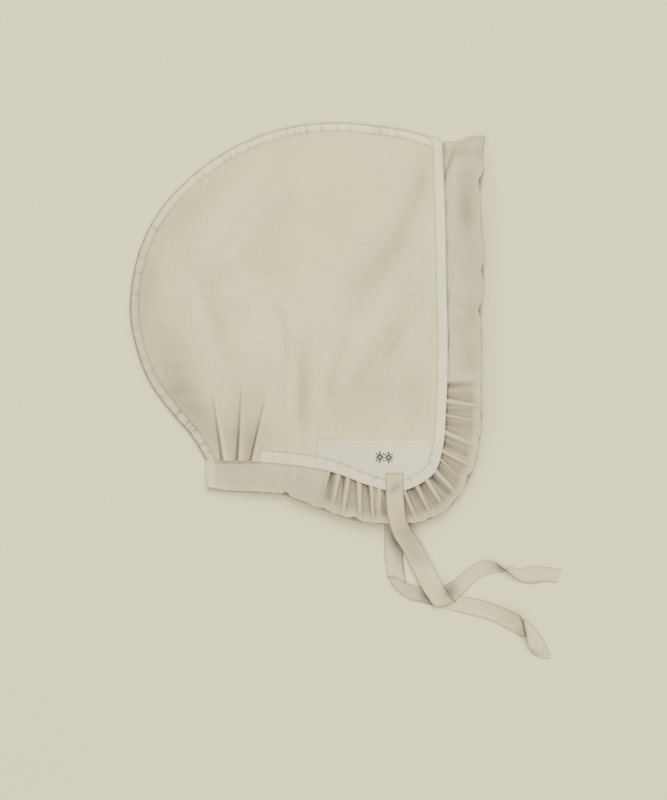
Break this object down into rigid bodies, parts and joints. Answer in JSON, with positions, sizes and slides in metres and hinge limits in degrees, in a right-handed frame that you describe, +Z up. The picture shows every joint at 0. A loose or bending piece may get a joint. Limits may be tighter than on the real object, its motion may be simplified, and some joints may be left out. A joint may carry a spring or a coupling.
{
  "type": "infirmary cap",
  "caption": "Soft white linen cap lying folded on its side, with a curved crown seam, a gathered ruffle round the face and neck, and tape ties at the lower corner.",
  "frame": {"origin": "on the surface that the cap lies on, under the middle of its outline with the ties", "axes": "+X towards the face edge, +Y towards the top of the head, +Z up from the surface, through the flattened width of the cap"},
  "size_m": [0.3035, 0.3762, 0.0375],
  "materials": {
    "linen": "plain woven linen, matte",
    "band_linen": "plain woven linen, matte, whiter than the panels",
    "ruffle_linen": "fine woven linen, matte",
    "patch_linen": "plain woven linen, matte, whiter than the panels",
    "tie_tape": "woven cotton tape, matte"
  },
  "bodies": {
    "root": {"near_side_panel": "linen", "far_side_panel": "linen", "crown_seam_binding": "band_linen", "edge_band": "band_linen", "ruffle": "ruffle_linen", "corner_patch": "patch_linen", "near_tie": "tie_tape", "far_tie": "tie_tape"}
  },
  "joints": []
}
